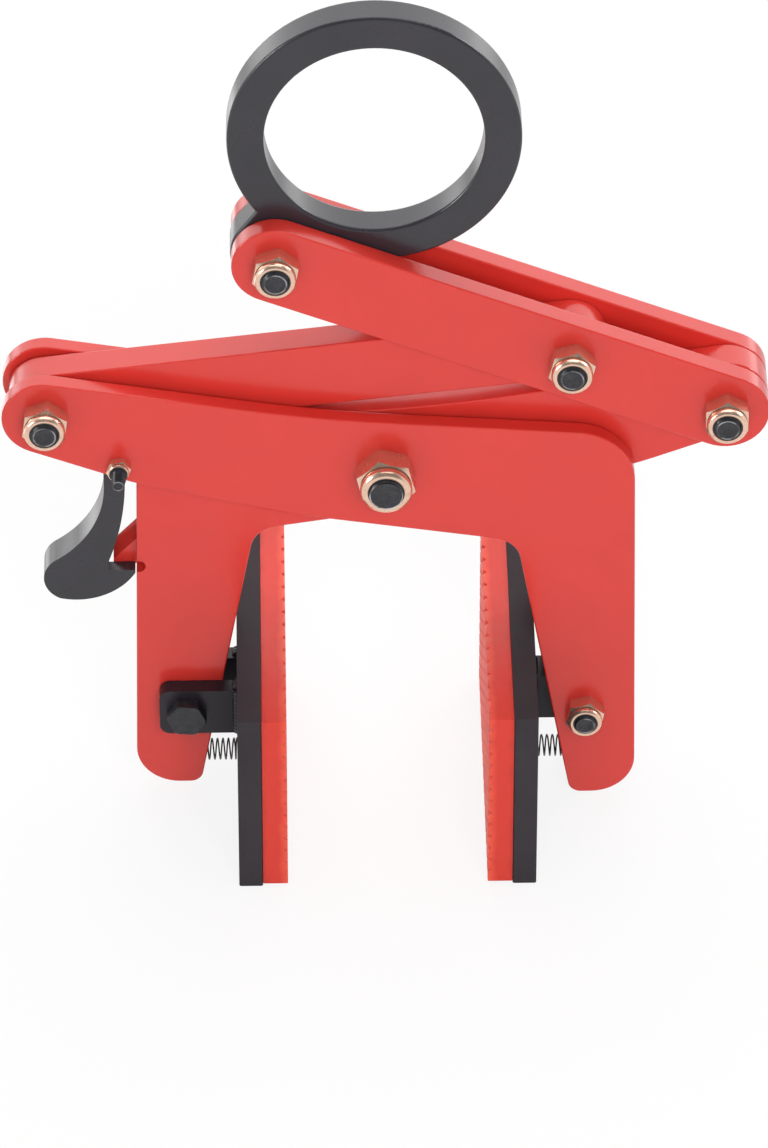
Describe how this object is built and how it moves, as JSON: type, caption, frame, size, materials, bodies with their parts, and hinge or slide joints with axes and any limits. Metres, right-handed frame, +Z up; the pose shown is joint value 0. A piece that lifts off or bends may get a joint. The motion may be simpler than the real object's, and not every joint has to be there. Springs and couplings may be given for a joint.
{
  "type": "lifting tongs",
  "caption": "Scissor lifting tongs for stone slabs: crossed steel jaws, a toggle arm with a lifting ring, sprung rubber-faced pads and a hook that latches the jaws open.",
  "frame": {"origin": "on the floor, midway between the pads and under the centre bolt", "axes": "+Z up towards the lifting ring, X across the jaws, +Y away from the side with the lock nuts"},
  "size_m": [0.345, 0.15, 0.4378],
  "materials": {
    "red_paint": "semi-gloss powder coat",
    "black_paint": "satin powder coat",
    "red_rubber": "moulded, matt",
    "zinc_nut": "yellow zinc plated",
    "nylon_insert": "plain nylon",
    "black_bolt": "black oxide steel",
    "spring_steel": "oiled wire",
    "washer_steel": "bright zinc"
  },
  "bodies": {
    "right_jaw": {"right_jaw_front_plate": "red_paint", "right_jaw_rear_plate": "red_paint", "right_spring_seat": "red_paint", "right_pad_spring": "spring_steel", "centre_washers": "washer_steel", "left_arm_washers": "washer_steel", "latch_washers": "washer_steel", "right_pad_washers": "washer_steel", "centre_bolt": "black_bolt", "centre_nut": "zinc_nut", "centre_nut_insert": "nylon_insert", "left_arm_bolt": "black_bolt", "left_arm_nut": "zinc_nut", "left_arm_nut_insert": "nylon_insert", "latch_bolt": "black_bolt", "latch_nut": "zinc_nut", "latch_nut_insert": "nylon_insert", "right_pad_bolt": "black_bolt", "right_pad_nut": "zinc_nut", "right_pad_nut_insert": "nylon_insert"},
    "left_jaw": {"left_jaw_plate": "red_paint", "left_pad_spring": "spring_steel", "left_pad_bolt": "black_bolt", "left_pad_nut": "zinc_nut", "left_pad_nut_insert": "nylon_insert"},
    "upper_arm": {"upper_arm_front_plate": "red_paint", "upper_arm_rear_plate": "red_paint", "ring_bolt": "black_bolt", "ring_nut": "zinc_nut", "ring_nut_insert": "nylon_insert", "link_bolt": "black_bolt", "link_nut": "zinc_nut", "link_nut_insert": "nylon_insert", "right_arm_bolt": "black_bolt", "right_arm_nut": "zinc_nut", "right_arm_nut_insert": "nylon_insert"},
    "toggle_link": {"toggle_link": "red_paint"},
    "lifting_ring": {"lifting_ring": "black_paint"},
    "latch": {"latch_hook": "black_paint"},
    "left_pad": {"left_pad_plate": "black_paint", "left_pad_rubber": "red_rubber", "left_pad_front_ear": "black_paint", "left_pad_rear_ear": "black_paint"},
    "right_pad": {"right_pad_plate": "black_paint", "right_pad_rubber": "red_rubber", "right_pad_tongue": "black_paint"}
  },
  "joints": [
    {"name": "jaw_close", "type": "hinge", "parent": "right_jaw", "child": "left_jaw", "pos_m": [0, 0, 0.1965], "axis": [0, -1, 0], "range_deg": [0, 24]},
    {"name": "link_turn", "type": "hinge", "parent": "right_jaw", "child": "toggle_link", "pos_m": [-0.153, 0, 0.2285], "axis": [0, -1, 0], "range_deg": [0, 18]},
    {"name": "upper_arm_turn", "type": "hinge", "parent": "left_jaw", "child": "upper_arm", "pos_m": [0.153, 0, 0.2285], "axis": [0, -1, 0], "range_deg": [-33.6, 0]},
    {"name": "ring_swing", "type": "hinge", "parent": "upper_arm", "child": "lifting_ring", "pos_m": [-0.04896, 0, 0.31216], "axis": [0, -1, 0], "range_deg": [-34, 110]},
    {"name": "latch_swing", "type": "hinge", "parent": "right_jaw", "child": "latch", "pos_m": [-0.1205, 0, 0.201], "axis": [0, 1, 0], "range_deg": [0, 45]},
    {"name": "left_pad_tilt", "type": "hinge", "parent": "left_jaw", "child": "left_pad", "pos_m": [-0.092, 0, 0.0555], "axis": [0, 1, 0], "range_deg": [0, 12], "stiffness_Nm_per_rad": 3, "springref_deg": -20.05, "deforming": ["left_pad_spring"]},
    {"name": "right_pad_tilt", "type": "hinge", "parent": "right_jaw", "child": "right_pad", "pos_m": [0.092, 0, 0.0555], "axis": [0, -1, 0], "range_deg": [0, 12], "stiffness_Nm_per_rad": 3, "springref_deg": -20.05, "deforming": ["right_pad_spring"]}
  ],
  "couplings": [
    {"joint": "link_turn", "follows": "jaw_close", "ratio": 0.7468},
    {"joint": "upper_arm_turn", "follows": "jaw_close", "ratio": -1.3998}
  ]
}
